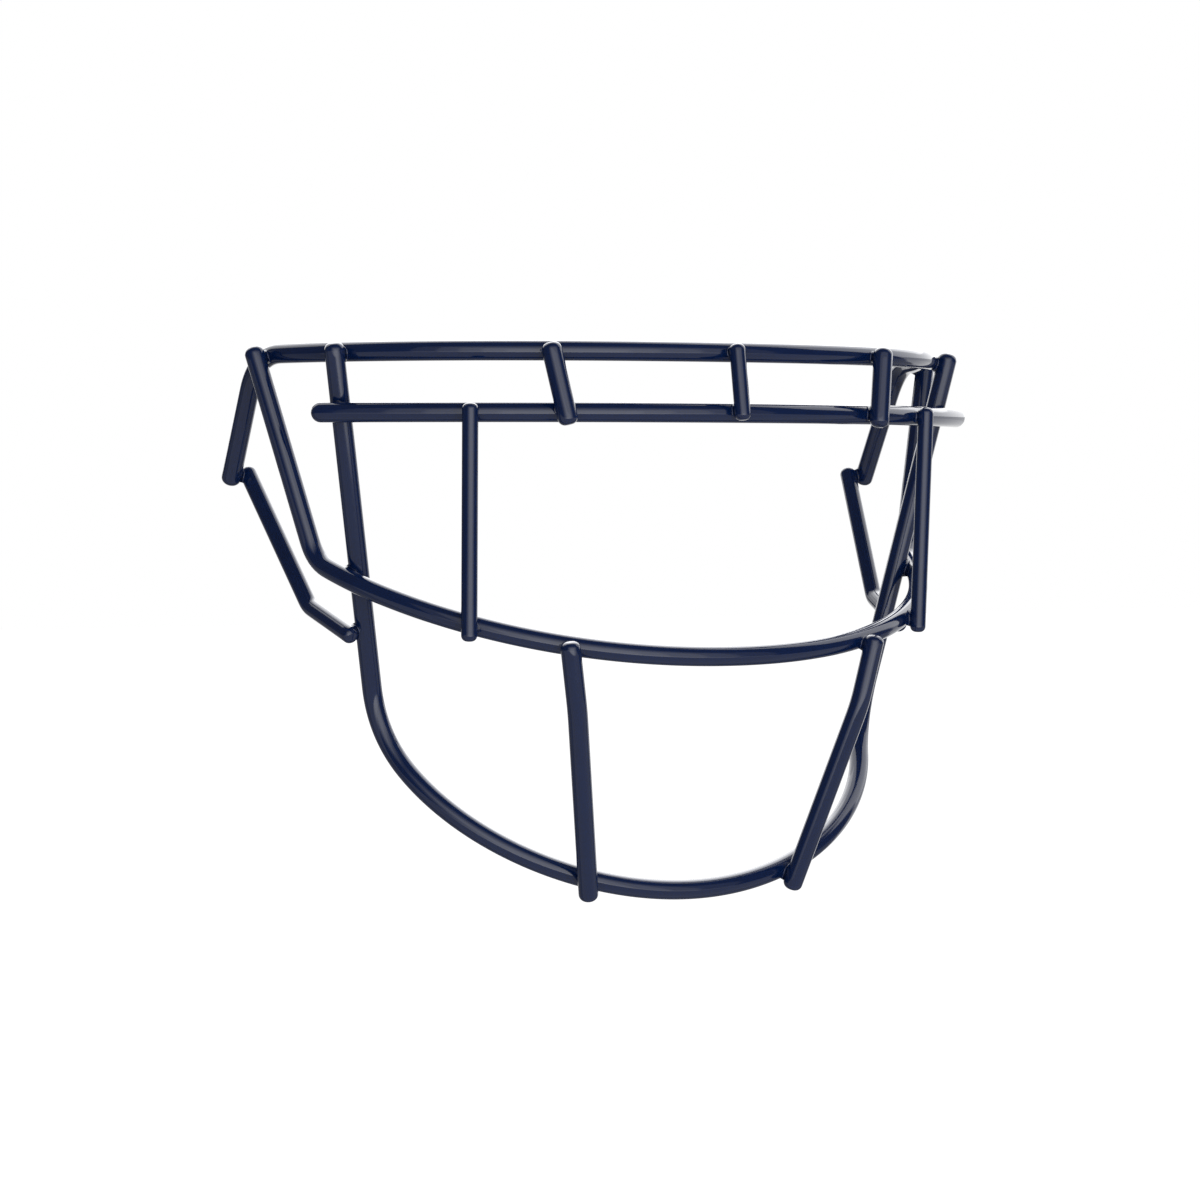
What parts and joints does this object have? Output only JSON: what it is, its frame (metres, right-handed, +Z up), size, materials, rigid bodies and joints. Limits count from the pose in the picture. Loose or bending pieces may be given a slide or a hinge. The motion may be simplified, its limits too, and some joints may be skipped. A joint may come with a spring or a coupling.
{
  "type": "american football facemask",
  "caption": "Welded wire facemask for an American football helmet: bent brow, eye and chin wires with upright struts, powder coated navy.",
  "frame": {"origin": "middle of the brow wire, on the mask's mirror plane", "axes": "+Z up, -Y to the wearer's front, +X to the wearer's left"},
  "size_m": [0.2444, 0.121, 0.168],
  "materials": {
    "wire_coating": "gloss navy powder coat on steel wire",
    "weld_coating": "gloss navy powder coat pooled over a weld"
  },
  "bodies": {
    "root": {"brow_strut_left": "wire_coating", "brow_strut_right": "wire_coating", "brow_wire": "wire_coating", "centre_brow_strut": "wire_coating", "chin_bar_left": "wire_coating", "chin_bar_right": "wire_coating", "chin_loop": "wire_coating", "eye_bar_left": "wire_coating", "eye_bar_right": "wire_coating", "eye_loop": "wire_coating", "jaw_brace_left": "wire_coating", "jaw_brace_right": "wire_coating", "lower_brow_wire": "wire_coating", "weld_brow_brow_strut_left": "weld_coating", "weld_brow_brow_strut_right": "weld_coating", "weld_brow_centre_brow_strut": "weld_coating", "weld_brow_chin_loop_left": "weld_coating", "weld_brow_chin_loop_right": "weld_coating", "weld_brow_eye_loop_left": "weld_coating", "weld_brow_eye_loop_right": "weld_coating", "weld_brow_jaw_brace_left": "weld_coating", "weld_brow_jaw_brace_right": "weld_coating", "weld_chin_loop_chin_bar_left": "weld_coating", "weld_chin_loop_chin_bar_right": "weld_coating", "weld_chin_loop_eye_loop_left": "weld_coating", "weld_chin_loop_eye_loop_right": "weld_coating", "weld_chin_loop_jaw_brace_left": "weld_coating", "weld_chin_loop_jaw_brace_right": "weld_coating", "weld_chin_loop_lower_brow_left": "weld_coating", "weld_chin_loop_lower_brow_right": "weld_coating", "weld_eye_loop_chin_bar_left": "weld_coating", "weld_eye_loop_chin_bar_right": "weld_coating", "weld_eye_loop_eye_bar_left": "weld_coating", "weld_eye_loop_eye_bar_right": "weld_coating", "weld_lower_brow_brow_strut_left": "weld_coating", "weld_lower_brow_brow_strut_right": "weld_coating", "weld_lower_brow_centre_brow_strut": "weld_coating", "weld_lower_brow_eye_bar_left": "weld_coating", "weld_lower_brow_eye_bar_right": "weld_coating"}
  },
  "joints": []
}
